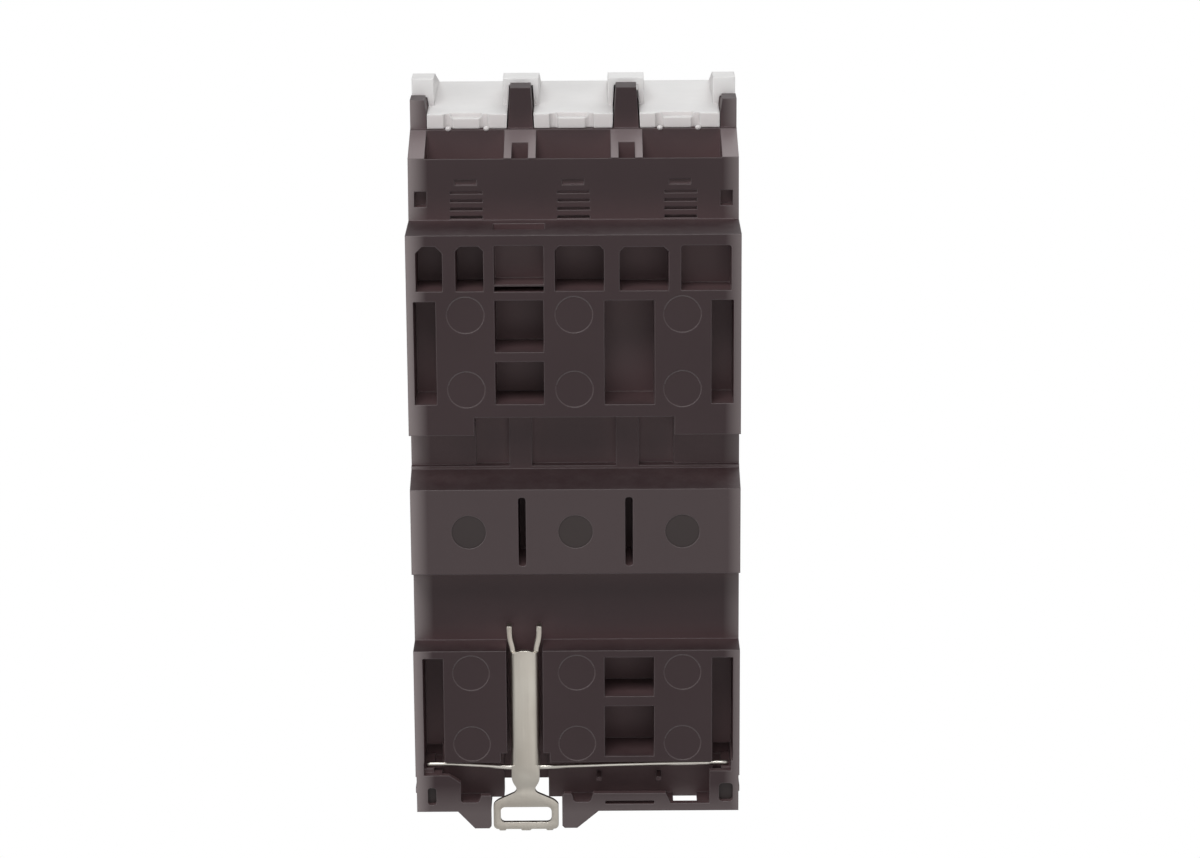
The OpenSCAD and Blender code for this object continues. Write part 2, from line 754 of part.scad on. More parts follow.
module coil_bobbin() color([0.85, 0.85, 0.8]) difference() {
    union() {
        for (y = [[bobbin_y[0], bobbin_y[0] + 1.2], [bobbin_y[1] - 1.5, bobbin_y[1]]])
            block([-18.5, 18.5], y, [mid_z - 16.6, mid_z + 16.6]);
        block([-core_x - 1.6, core_x + 1.6], bobbin_y,
              [mid_z - centre_leg_z - 1.6, mid_z + centre_leg_z + 1.6]);
        block([-11, 11], [bobbin_y[1] - 1.5, bobbin_y[1]], [mid_z + 16, mid_z + 16.8]);
        for (x = [-15.5, 11])
            block([x, x + 4.5], [bobbin_y[1] - 1.5, bobbin_y[1]], [mid_z + 16, lead_z + 1.6]);
        for (x = [-11.1, 8.25])
            block([x, x + 2.85], [bobbin_y[1] - 1.5, bobbin_y[1]], [lead_z - 1.6, lead_z + 1.6]);
    }
    block([-core_x - 0.4, core_x + 0.4], [bobbin_y[0] - 1, bobbin_y[1] + 1],
          [mid_z - centre_leg_z - 0.4, mid_z + centre_leg_z + 0.4]);
}

module coil_winding() color(copper) difference() {
    through_y([bobbin_y[0] + 1.2, bobbin_y[1] - 1.5])
        round_rect([-17.4, 17.4], [mid_z - 15.8, mid_z + 15.8], 5);
    block([-core_x - 1.6, core_x + 1.6], bobbin_y,
          [mid_z - centre_leg_z - 1.6, mid_z + centre_leg_z + 1.6]);
}

module coil_lead(x) color([0.78, 0.66, 0.35]) translate([x, 0, 0]) {
    block([-0.4, 0.4], [bobbin_y[1], lead_tab_y + 0.1], [lead_z - 1.5, lead_z + 1.5]);
    block([-2.4, 2.4], [lead_tab_y, lead_tab_y + 0.8], [lead_z - 1.5, coil_z + 2.9]);
}

module coil_lead_a1() coil_lead(-rib_x);
module coil_lead_a2() coil_lead(rib_x);

// A box clamp: a frame around the bar, with the screw's thread in its front plate
module box_clamp(half_x, half_z, y, plate, thread_r) {
    difference() {
        block([-half_x, half_x], y, [-half_z, half_z]);
        block([-half_x + plate, half_x - plate], [y[0] + plate, y[1] - 1.6 * plate],
              [-half_z - 1, half_z + 1]);
        rod_y(thread_r, [y[0] + 2 * plate, y[1] + 1]);
    }
}

// A slotted terminal screw that turns in place, its point against the bar
module terminal_screw(r, head_r, y, head_h) {
    difference() {
        union() {
            rod_y(r, [y[0], y[1] - head_h]);
            rod_y(head_r, [y[1] - head_h, y[1]]);
        }
        block([-head_r - 1, head_r + 1], [y[1] - 0.45 * head_h, y[1] + 1],
              [-0.16 * head_r, 0.16 * head_r]);
        block([-0.16 * head_r, 0.16 * head_r], [y[1] - 0.45 * head_h, y[1] + 1],
              [-0.55 * head_r, 0.55 * head_r]);
    }
}

module coil_clamp(x) color(steel) translate([x, 0, coil_z])
    box_clamp(3.4, 2.9, [86.2, 94.6], 0.9, coil_screw_d / 2 + 0.06);

module coil_clamp_a1() coil_clamp(-rib_x);
module coil_clamp_a2() coil_clamp(rib_x);

module coil_screw(x) color(steel) translate([x, 0, coil_z])
    terminal_screw(coil_screw_d / 2, 2.35, [lead_tab_y + 0.85, hood_y - 10.4], 1.0);

module coil_screw_a1() coil_screw(-rib_x);
module coil_screw_a2() coil_screw(rib_x);

// ---------------------------------------------------------------- moving system

module armature() color(steel) difference() {
    e_core([armature_yoke_y, armature_front_y], armature_face_y);
    translate([0, 48, mid_z]) rod_x(1.55, [-core_x - 1, core_x + 1]);
}

module armature_pin() color(silver)
    translate([0, 48, mid_z]) rod_x(1.5, [-11.4, 11.4]);

module return_springs() color(steel)
    for (x = [-15.2, 15.2])
        translate([x, 0, mid_z]) coil_spring(3.2, 0.4, 5, [bobbin_y[1] + 0.05, plate_y[0] - 0.05]);

// The cross bar behind the contacts, with a window for each bridge
module contact_carrier() color([0.2, 0.2, 0.2]) difference() {
    union() {
        block([-24.4, 24.4], plate_y, [mid_z - 6.5, mid_z + 6.5]);
        for (x = [-11.4, core_x + 0.3])
            block([x, x + 3.1], [44.5, plate_y[0] + 1], [mid_z - 5, mid_z + 5]);
        block([-core_x, core_x], [armature_front_y + 0.1, plate_y[0] + 1], [mid_z - 6, mid_z + 6]);
        at_poles() block([-6, 6], [plate_y[0] + 1, top_y - 1], [mid_z - 3.5, mid_z + 3.5]);
    }
    at_poles()
        block([-bar_w / 2 - 0.5, bar_w / 2 + 0.5], [bridge_y, top_y - 3], [mid_z - 4, mid_z + 4]);
    translate([0, 48, mid_z]) rod_x(1.55, [-12, 12]);
}

module indicator_pusher() color("white")
    block([-3.9, 3.9], [top_y - 1, hood_y - 0.6], [mid_z - 5.8, mid_z + 5.8]);

module bridge_contact(pole) color(copper) translate([pole * pole_pitch, 0, mid_z]) {
    block([-bar_w / 2, bar_w / 2], [bridge_y + 0.01, bridge_y + bridge_t], [-12.5, 12.5]);
}

module bridge_tips(pole) color(silver) translate([pole * pole_pitch, 0, mid_z])
    for (z = [-tip_z, tip_z])
        block([-3, 3], [bridge_y + 0.01 - bridge_tip_t, bridge_y + 0.01], [z - 2.5, z + 2.5]);

module contact_spring(pole) color(steel) translate([pole * pole_pitch, 0, mid_z])
    coil_spring(2.4, 0.35, 4, [bridge_y + bridge_t + 0.05, top_y - 3.05]);

// ---------------------------------------------------------------- current path

// A fixed contact bar from the tip out to the terminal
module fixed_contact() color(copper)
    block([-bar_w / 2, bar_w / 2], [bar_y, bar_y + bar_t], [mid_z + 6.5, bar_end_z]);

module contact_at(pole) translate([pole * pole_pitch, 0, 0]) children();

module fixed_contact_tips() color(silver)
    at_poles() for (z = [-tip_z, tip_z])
        block([-3, 3], [bar_y + bar_t, bar_y + bar_t + tip_t], [mid_z + z - 2.5, mid_z + z + 2.5]);

// A stack of steel plates that splits the arc, with a notch towards the contacts
module arc_stack() {
    for (i = [0 : 5])
        translate([0, 66.5 + 2.6 * i, 0])
            through_y([0, 1])
                polygon([
                    [-6.4, mid_z + 32], [-6.4, mid_z + 21], [-2.5, mid_z + 21],
                    [0, mid_z + 26], [2.5, mid_z + 21], [6.4, mid_z + 21], [6.4, mid_z + 32]
                ]);
}

module arc_plates_line() color(steel) at_poles() arc_stack();
module arc_plates_load() color(steel) load_side() at_poles() arc_stack();

module power_clamp() color(steel) translate([0, 0, mid_z + screw_z])
    box_clamp(6.6, clamp_half_z, [49.6, 71], 1.6, screw_d / 2 + 0.06);

module power_screw() color(steel) translate([0, 0, mid_z + screw_z])
    terminal_screw(screw_d / 2, 3.9, [bar_y + bar_t + 0.05, 83.2], 3);

// Four long screws hold the contact housing to the rear housing
module housing_screws() color(steel)
    both_sides() for (x = [-rib_x, rib_x]) translate([x, 0, post_z]) {
        rod_y(1.5, [32, 82]);
        difference() {
            rod_y(2.1, [81.2, 83.6]);
            block([-0.4, 0.4], [82.6, 84], [-3, 3]);
        }
    }

// ---------------------------------------------------------------- nodes

base_housing();
contact_housing();
front_cover();
line_terminal_cover();
load_terminal_cover();
rail_clip();
clip_spring();
fixed_core();
core_cushions();
shading_rings();
coil_bobbin();
coil_winding();
coil_lead_a1();
coil_lead_a2();
coil_clamp_a1();
coil_clamp_a2();
coil_screw_a1();
coil_screw_a2();
armature();
armature_pin();
return_springs();
contact_carrier();
indicator_pusher();
for (pole = [1 : 3]) {
    bridge_contact(pole - 2);
    bridge_tips(pole - 2);
    contact_spring(pole - 2);
    contact_at(pole - 2) fixed_contact();
    contact_at(pole - 2) load_side() fixed_contact();
    contact_at(pole - 2) power_clamp();
    contact_at(pole - 2) load_side() power_clamp();
    contact_at(pole - 2) power_screw();
    contact_at(pole - 2) load_side() power_screw();
}
fixed_contact_tips();
arc_plates_line();
arc_plates_load();
housing_screws();
label_plate();
label_window();
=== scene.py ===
# %% [markdown]
# # A three-pole DIN rail contactor, seen from its rail side
# The moving parts, the housings and their sizes come from a packed mechanical model. This notebook
# loads that model as a fixed frame and then does the work of a model maker's finishing bench: it
# replaces the bent metal parts with softer, better shaped ones, adds the small marks a mould leaves,
# and gives every part a surface that behaves like its real plastic, steel, copper or rubber.

# %% Load the frame
import bpy, bmesh, json, math
from mathutils import Matrix, Vector


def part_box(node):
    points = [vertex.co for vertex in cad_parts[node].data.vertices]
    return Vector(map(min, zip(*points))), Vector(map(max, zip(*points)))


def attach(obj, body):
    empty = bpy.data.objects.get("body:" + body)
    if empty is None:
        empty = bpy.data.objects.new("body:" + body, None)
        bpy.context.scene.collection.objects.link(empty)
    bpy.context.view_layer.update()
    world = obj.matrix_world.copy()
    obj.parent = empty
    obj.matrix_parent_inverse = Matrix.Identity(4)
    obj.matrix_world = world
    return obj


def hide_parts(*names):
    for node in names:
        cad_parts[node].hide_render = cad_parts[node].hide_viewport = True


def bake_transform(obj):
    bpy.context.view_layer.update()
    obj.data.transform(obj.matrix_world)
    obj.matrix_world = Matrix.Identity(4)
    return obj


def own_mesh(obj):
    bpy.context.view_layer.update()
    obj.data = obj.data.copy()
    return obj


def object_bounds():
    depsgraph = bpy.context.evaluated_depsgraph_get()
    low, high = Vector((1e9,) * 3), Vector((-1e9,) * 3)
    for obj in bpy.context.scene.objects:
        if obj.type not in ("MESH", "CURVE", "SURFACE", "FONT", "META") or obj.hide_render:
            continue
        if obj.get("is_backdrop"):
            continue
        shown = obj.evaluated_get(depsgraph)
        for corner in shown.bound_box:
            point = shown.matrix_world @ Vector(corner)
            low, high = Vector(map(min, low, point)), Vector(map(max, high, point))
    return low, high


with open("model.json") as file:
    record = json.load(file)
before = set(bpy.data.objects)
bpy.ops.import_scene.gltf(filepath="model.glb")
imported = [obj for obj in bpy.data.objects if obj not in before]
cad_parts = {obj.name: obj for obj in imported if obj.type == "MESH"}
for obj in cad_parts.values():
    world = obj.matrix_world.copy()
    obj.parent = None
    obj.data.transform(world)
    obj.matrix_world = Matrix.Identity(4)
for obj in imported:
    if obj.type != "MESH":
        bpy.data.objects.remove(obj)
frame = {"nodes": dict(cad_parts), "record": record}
cad_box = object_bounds()
MM = 0.001

# %% [markdown]
# ## Camera
# The catalogue view looks straight at the rear face from a little above. A long lens keeps the
# sides almost parallel, so the camera stands well back. The tiny roll tilts the picture by a third
# of a degree, as a hand-set tripod does.

# %% Camera
base_low, base_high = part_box("base_housing")
aim = Vector((4.1 * MM, base_low.y, 17.4 * MM))
tilt, distance = math.radians(15), 588.7 * MM
spot = aim + distance * Vector((0, -math.cos(tilt), math.sin(tilt)))
camera = bpy.data.objects.new("camera", bpy.data.cameras.new("camera"))
camera.data.lens = 108.7
camera.data.sensor_width = 36
camera.data.clip_start = 0.01
camera.matrix_world = (Matrix.Translation(spot) @ Matrix.Rotation(math.pi / 2 - tilt, 4, "X")
                       @ Matrix.Rotation(math.radians(-0.35), 4, "Z"))
bpy.context.scene.collection.objects.link(camera)
bpy.context.scene.camera = camera
print("camera stands at", [round(v, 3) for v in spot])

# %% [markdown]
# ## Studio
# Catalogue pictures are taken on a white sweep. The room here shows pure white straight to the lens
# and sends a dimmer, even light to the object, so that dark plastic keeps its depth. One soft box
# stands high behind the camera: faces that lean back catch it. A wide, low one beside the camera
# fills the pockets. A small one on the left draws the rounded bends of the metal clip, and one on the
# far side lights the operator's front. Area lights were chosen because their shadows are soft.

# %% White room
scene = bpy.context.scene
scene.view_settings.view_transform = "Standard"
ROOM_LIGHT = 0.42


def white_for_lens(tree, shader_kind, dim_shader, output):
    """Shows a white emitter straight to the lens and a dimmer shader to every other ray."""
    path = tree.nodes.new("ShaderNodeLightPath")
    bright = tree.nodes.new(shader_kind)
    bright.inputs["Color"].default_value = (1, 1, 1, 1)
    bright.inputs["Strength"].default_value = 1.0
    blend_node = tree.nodes.new("ShaderNodeMixShader")
    tree.links.new(path.outputs["Is Camera Ray"], blend_node.inputs[0])
    tree.links.new(dim_shader.outputs[0], blend_node.inputs[1])
    tree.links.new(bright.outputs[0], blend_node.inputs[2])
    tree.links.new(blend_node.outputs[0], output.inputs["Surface"])


world = bpy.data.worlds.new("white_room")
world.use_nodes = True
dim = world.node_tree.nodes["Background"]
dim.inputs["Color"].default_value = (1, 1, 1, 1)
dim.inputs["Strength"].default_value = ROOM_LIGHT
white_for_lens(world.node_tree, "ShaderNodeBackground", dim,
               world.node_tree.nodes["World Output"])
scene.world = world
print("room light", ROOM_LIGHT)

# %% Soft boxes
def soft_box(name, azimuth, elevation, far, size, watts):
    """A square soft box, placed by its direction from the contactor and turned to face it."""
    turn, rise = math.radians(azimuth), math.radians(elevation)
    middle = (cad_box[0] + cad_box[1]) / 2
    way = Vector((math.sin(turn) * math.cos(rise), -math.cos(turn) * math.cos(rise),
                  math.sin(rise)))
    lamp = bpy.data.lights.new(name, "AREA")
    lamp.size = size
    lamp.energy = watts
    ob = bpy.data.objects.new(name, lamp)
    ob.location = middle + way * far
    ob.rotation_euler = (-way).to_track_quat("-Z", "Y").to_euler()
    scene.collection.objects.link(ob)


soft_box("main_box", -12, 52, 0.9, 0.45, 3.6)
soft_box("front_box", 6, -10, 1.1, 0.9, 2.1)
soft_box("left_box", -55, 20, 0.9, 0.35, 1.0)
soft_box("far_box", 160, 50, 0.9, 0.5, 2.4)
print("four soft boxes")

# %% Floor
bm = bmesh.new()
bmesh.ops.create_grid(bm, x_segments=1, y_segments=1, size=6)
floor_mesh = bpy.data.meshes.new("floor")
bm.to_mesh(floor_mesh)
bm.free()
floor = bpy.data.objects.new("floor", floor_mesh)
floor.location = (0, 0, -0.4)
scene.collection.objects.link(floor)
floor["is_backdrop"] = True
paper = bpy.data.materials.new("floor_paper")
paper.use_nodes = True
paper_shader = paper.node_tree.nodes["Principled BSDF"]
paper_shader.inputs["Base Color"].default_value = (0.8, 0.8, 0.8, 1)
paper_shader.inputs["Roughness"].default_value = 1.0
white_for_lens(paper.node_tree, "ShaderNodeEmission", paper_shader,
               paper.node_tree.nodes["Material Output"])
floor.data.materials.append(paper)
print("floor at", floor.location.z)

# %% [markdown]
# ## Shader building blocks
# Several finishes share the same effects, so each effect is one node group with plain inputs and
# outputs. *Soft corner* uses the Bevel node: it bends the shading normal near sharp edges, as the
# small radius of a mould does, and it also gives a mask of where those edges are, on which the
# finishes paint a lighter colour as a highlight. *Moulded grain* is the fine spark-eroded texture of
# a plastic housing with a slow change of tone. *Drawn lines* is the directional scratch pattern of
# rolled or drawn metal. *Settled dust* finds upward faces. *Painted shading* gives the masks where a
# moulding's colour is painted lighter or darker in place of light and shade. Painted maps could hold
# the same marks, but groups follow the shape by themselves when a size changes.

# %% Helpers for node groups
def open_group(name, inputs, outputs):
    """A new shader group. inputs are (name, type, value); outputs are (name, type)."""
    tree = bpy.data.node_groups.new(name, "ShaderNodeTree")
    for label, kind, value in inputs:
        socket = tree.interface.new_socket(label, in_out="INPUT", socket_type=kind)
        socket.default_value = value
    for label, kind in outputs:
        tree.interface.new_socket(label, in_out="OUTPUT", socket_type=kind)
    return tree, tree.nodes.new("NodeGroupInput"), tree.nodes.new("NodeGroupOutput")


def add(tree, kind, values=(), **settings):
    """A node with its settings, and its input sockets set to values or linked to sockets."""
    node = tree.nodes.new(kind)
    for key, value in settings.items():
        setattr(node, key, value)
    for key, value in dict(values).items():
        if isinstance(value, bpy.types.NodeSocket):
            tree.links.new(value, node.inputs[key])
        else:
            node.inputs[key].default_value = value
    return node


def span(tree, value, low, high, out_low=0.0, out_high=1.0):
    """Maps a range to another and clamps it."""
    return add(tree, "ShaderNodeMapRange", {"Value": value, "From Min": low, "From Max": high,
                                            "To Min": out_low, "To Max": out_high}).outputs[0]


print("group helpers ready")

# %% Soft corner group
corner_group, group_in, group_out = open_group(
    "soft_corner", [("Radius", "NodeSocketFloat", 0.0003)],
    [("Normal", "NodeSocketVector"), ("Edge", "NodeSocketFloat")])
bevel = add(corner_group, "ShaderNodeBevel", {"Radius": group_in.outputs["Radius"]}, samples=6)
geometry = add(corner_group, "ShaderNodeNewGeometry")
turn = add(corner_group, "ShaderNodeVectorMath",
           {0: bevel.outputs[0], 1: geometry.outputs["True Normal"]}, operation="DOT_PRODUCT")
edge = span(corner_group, turn.outputs["Value"], 0.995, 0.80)
corner_group.links.new(bevel.outputs[0], group_out.inputs["Normal"])
corner_group.links.new(edge, group_out.inputs["Edge"])
print("group", corner_group.name)

# %% Moulded grain group
grain_group, group_in, group_out = open_group(
    "moulded_grain", [("Scale", "NodeSocketFloat", 2500.0)],
    [("Height", "NodeSocketFloat"), ("Tone", "NodeSocketFloat")])
place = add(grain_group, "ShaderNodeTexCoord").outputs["Object"]
fine = add(grain_group, "ShaderNodeTexNoise",
           {"Vector": place, "Scale": group_in.outputs["Scale"], "Detail": 2.0, "Roughness": 0.6})
slow = add(grain_group, "ShaderNodeTexNoise",
           {"Vector": place, "Scale": 55.0, "Detail": 3.0, "Roughness": 0.5})
grain_group.links.new(fine.outputs[0], group_out.inputs["Height"])
grain_group.links.new(span(grain_group, slow.outputs[0], 0.3, 0.7), group_out.inputs["Tone"])
print("group", grain_group.name)

# %% Drawn lines group
lines_group, group_in, group_out = open_group(
    "drawn_lines", [("Stretch", "NodeSocketVector", (1.0, 1.0, 0.03)),
                    ("Scale", "NodeSocketFloat", 3000.0)],
    [("Height", "NodeSocketFloat"), ("Tone", "NodeSocketFloat")])
place = add(lines_group, "ShaderNodeTexCoord").outputs["Object"]
pulled = add(lines_group, "ShaderNodeVectorMath", {0: place, 1: group_in.outputs["Stretch"]},
             operation="MULTIPLY").outputs[0]
lines = add(lines_group, "ShaderNodeTexNoise",
            {"Vector": pulled, "Scale": group_in.outputs["Scale"], "Detail": 3.0, "Roughness": 0.65})
cloud = add(lines_group, "ShaderNodeTexNoise", {"Vector": place, "Scale": 120.0, "Detail": 2.0})
lines_group.links.new(lines.outputs[0], group_out.inputs["Height"])
lines_group.links.new(span(lines_group, cloud.outputs[0], 0.3, 0.7), group_out.inputs["Tone"])
print("group", lines_group.name)

# %% Settled dust group
dust_group, group_in, group_out = open_group(
    "settled_dust", [("Amount", "NodeSocketFloat", 0.3)], [("Mask", "NodeSocketFloat")])
geometry = add(dust_group, "ShaderNodeNewGeometry")
up = add(dust_group, "ShaderNodeSeparateXYZ", {0: geometry.outputs["Normal"]}).outputs["Z"]
place = add(dust_group, "ShaderNodeTexCoord").outputs["Object"]
speck = add(dust_group, "ShaderNodeTexNoise",
            {"Vector": place, "Scale": 400.0, "Detail": 4.0, "Roughness": 0.7}).outputs[0]
level = span(dust_group, up, 0.3, 0.95)
level = add(dust_group, "ShaderNodeMath", {0: level, 1: span(dust_group, speck, 0.35, 0.7)},
            operation="MULTIPLY").outputs[0]
level = add(dust_group, "ShaderNodeMath", {0: level, 1: group_in.outputs["Amount"]},
            operation="MULTIPLY").outputs[0]
dust_group.links.new(level, group_out.inputs["Mask"])
print("group", dust_group.name)

# %% [markdown]
# The painted shading group gives four masks, and the finishes paint a lighter or darker colour into
# each in place of light and shade. *Recess* is where a face sees little open space: the dark housing
# is painted lighter there as bounced light, and the white cover darker as shade. *Foot* is the
# sloping feet behind the barriers, painted lighter as the highlight of the high soft box. *Flank* is
# the rear faces at the outer millimetres of both sides, the bottom flange and a little of the middle
# band, painted lighter as light, strongest on the left side where the light comes from. *Lip* is the
# rear edge of the cover below its fins, painted darker as shade. All are made from place and facing,
# so no map has to be painted.

# %% Painted shading group
FOOT_FROM, LIP_TO = 58.8 * MM, 66 * MM
SIDE_STARTS = (-23.8 * MM, 24.4 * MM)
FLANGE_STARTS, FLANGE_FULL, BAND_EDGE = -44 * MM, -49 * MM, 9 * MM
half_width = base_high.x
painted_shading_group, group_in, group_out = open_group(
    "painted_shading_masks", [("Reach", "NodeSocketFloat", 0.009)],
    [(label, "NodeSocketFloat") for label in ("Recess", "Foot", "Flank", "Lip")])
# Recess mask from ambient occlusion: painted bounce light on the dark housing, painted shade on the
# white cover.
shade = add(painted_shading_group, "ShaderNodeAmbientOcclusion", {"Distance": group_in.outputs["Reach"]},
            samples=6)
recess = span(painted_shading_group, shade.outputs["AO"], 0.85, 0.25)
place = add(painted_shading_group, "ShaderNodeTexCoord").outputs["Object"]
place = add(painted_shading_group, "ShaderNodeSeparateXYZ", {0: place}).outputs
facing = add(painted_shading_group, "ShaderNodeNewGeometry").outputs["True Normal"]
facing = add(painted_shading_group, "ShaderNodeSeparateXYZ", {0: facing}).outputs
rearward = span(painted_shading_group, facing["Y"], -0.15, -0.7)


def combine(first, second, operation="MULTIPLY"):
    """Joins two masks of the painted shading group."""
    return add(painted_shading_group, "ShaderNodeMath", {0: first, 1: second}, operation=operation).outputs[0]


# Foot mask: faces leaning up, above FOOT_FROM; a painted highlight.
leaning = combine(span(painted_shading_group, facing["Z"], 0.80, 0.90),
                  span(painted_shading_group, facing["Z"], 0.99, 0.97))
foot = combine(leaning, span(painted_shading_group, place["Z"], FOOT_FROM, FOOT_FROM + 0.6 * MM))
# Lip mask: rear faces below LIP_TO; painted shade on the cover's lip.
lip = combine(rearward, span(painted_shading_group, place["Z"], LIP_TO, LIP_TO - 0.6 * MM))
print("group", painted_shading_group.name)

# %% Flank mask
# Flank mask: outer sides (stronger on the left), bottom flange and middle band, on open rear faces;
# painted light.
middle = add(painted_shading_group, "ShaderNodeMath", {0: place["Z"]}, operation="ABSOLUTE").outputs[0]
flank = span(painted_shading_group, place["X"], SIDE_STARTS[0], -half_width)
for other in (span(painted_shading_group, place["X"], SIDE_STARTS[1], half_width, 0, 0.65),
              span(painted_shading_group, place["Z"], FLANGE_STARTS, FLANGE_FULL, 0, 0.36),
              span(painted_shading_group, middle, BAND_EDGE, BAND_EDGE - 2 * MM, 0, 0.13)):
    flank = combine(flank, other, "MAXIMUM")
flank = combine(flank, combine(rearward, span(painted_shading_group, recess, 0.9, 0.3)))
for label, mask in (("Recess", recess), ("Foot", foot), ("Flank", flank), ("Lip", lip)):
    painted_shading_group.links.new(mask, group_out.inputs[label])
print("four masks")

# %% [markdown]
# ## Finishes
# A finish is one material. Its Principled shader stays in the material, and the groups only feed it
# colours, masks and heights. Plastic gets a grain bump, a slow change of tone, lighter edges as a
# painted highlight and a little dust, and the two visible mouldings also get the painted shading
# masks, each with its own lighter or darker colour in place of light and shade. Metal gets drawn
# lines that move both its height and its roughness, and lighter edges as a painted highlight.

# %% Plastic and metal finishes
def put(material, group, **values):
    """Places a group in a material with its own values."""
    node = material.node_tree.nodes.new("ShaderNodeGroup")
    node.node_tree = group
    for key, value in values.items():
        node.inputs[key].default_value = value
    return node


def mix(tree, factor, a, b):
    """Mixes two colours by a mask."""
    node = add(tree, "ShaderNodeMix", data_type="RGBA")
    tree.links.new(factor, node.inputs[0])
    for key, value in ((6, a), (7, b)):
        if isinstance(value, bpy.types.NodeSocket):
            tree.links.new(value, node.inputs[key])
        else:
            node.inputs[key].default_value = (*value, 1)
    return node.outputs[2]


def start_finish(name):
    """A new material with its node tree and its Principled shader."""
    material = bpy.data.materials.new(name)
    material.use_nodes = True
    return material, material.node_tree, material.node_tree.nodes["Principled BSDF"]


def plastic(name, colour, second, edge_highlight, rough, grain=2500.0, depth=0.3, radius=0.3,
            edge_highlight_share=0.5, dust=0.05, dust_colour=(0.30, 0.28, 0.27), thin=0.0, gloss=0.5,
            painted_shading=None):
    """A moulded plastic. Its edge colour is painted on the edges as a highlight. radius is the corner
    radius in mm, thin lets light into the skin, gloss is the strength of the surface reflection, and
    the last argument gives a colour, painted lighter or darker in place of light and shade, for each
    shading mask it names."""
    material, tree, shader = start_finish(name)
    corner = put(material, corner_group, Radius=radius * MM)
    skin = put(material, grain_group, Scale=grain)
    fall = put(material, dust_group, Amount=dust)
    tint = mix(tree, skin.outputs["Tone"], colour, second)
    # Painted light and shade: each named mask mixes in its own lighter or darker colour.
    if painted_shading:
        masks = put(material, painted_shading_group)
        for label, shading_colour in painted_shading.items():
            tint = mix(tree, masks.outputs[label], tint, shading_colour)
    # Painted highlight: the edge mask mixes in the lighter edge colour.
    share = add(tree, "ShaderNodeMath", {0: corner.outputs["Edge"], 1: edge_highlight_share},
                operation="MULTIPLY").outputs[0]
    tint = mix(tree, share, tint, edge_highlight)
    tint = mix(tree, fall.outputs["Mask"], tint, dust_colour)
    tree.links.new(tint, shader.inputs["Base Color"])
    tree.links.new(span(tree, skin.outputs["Tone"], 0, 1, rough - 0.05, rough + 0.06),
                   shader.inputs["Roughness"])
    bump = add(tree, "ShaderNodeBump", {"Height": skin.outputs["Height"], "Distance": 0.00003,
                                        "Strength": depth, "Normal": corner.outputs["Normal"]})
    tree.links.new(bump.outputs[0], shader.inputs["Normal"])
    shader.inputs["Specular IOR Level"].default_value = gloss
    if thin:
        shader.inputs["Subsurface Weight"].default_value = thin
        shader.inputs["Subsurface Radius"].default_value = (1, 1, 1)
        shader.inputs["Subsurface Scale"].default_value = 0.002
    return material


def metal(name, colour, second, rough, stretch=(1, 1, 0.03), scale=3000.0, depth=0.25,
          radius=0.12, edge_highlight=None):
    """A rolled, drawn or plated metal. stretch is short along the lines' own direction."""
    material, tree, shader = start_finish(name)
    corner = put(material, corner_group, Radius=radius * MM)
    lines = put(material, lines_group, Stretch=stretch, Scale=scale)
    tint = mix(tree, lines.outputs["Tone"], colour, second)
    # Painted highlight: the edges take the lighter edge colour.
    tint = mix(tree, corner.outputs["Edge"], tint, edge_highlight or second)
    tree.links.new(tint, shader.inputs["Base Color"])
    tree.links.new(span(tree, lines.outputs["Height"], 0.3, 0.7, rough - 0.08, rough + 0.1),
                   shader.inputs["Roughness"])
    shader.inputs["Metallic"].default_value = 1.0
    bump = add(tree, "ShaderNodeBump", {"Height": lines.outputs["Height"], "Distance": 0.00002,
                                        "Strength": depth, "Normal": corner.outputs["Normal"]})
    tree.links.new(bump.outputs[0], shader.inputs["Normal"])
    return material


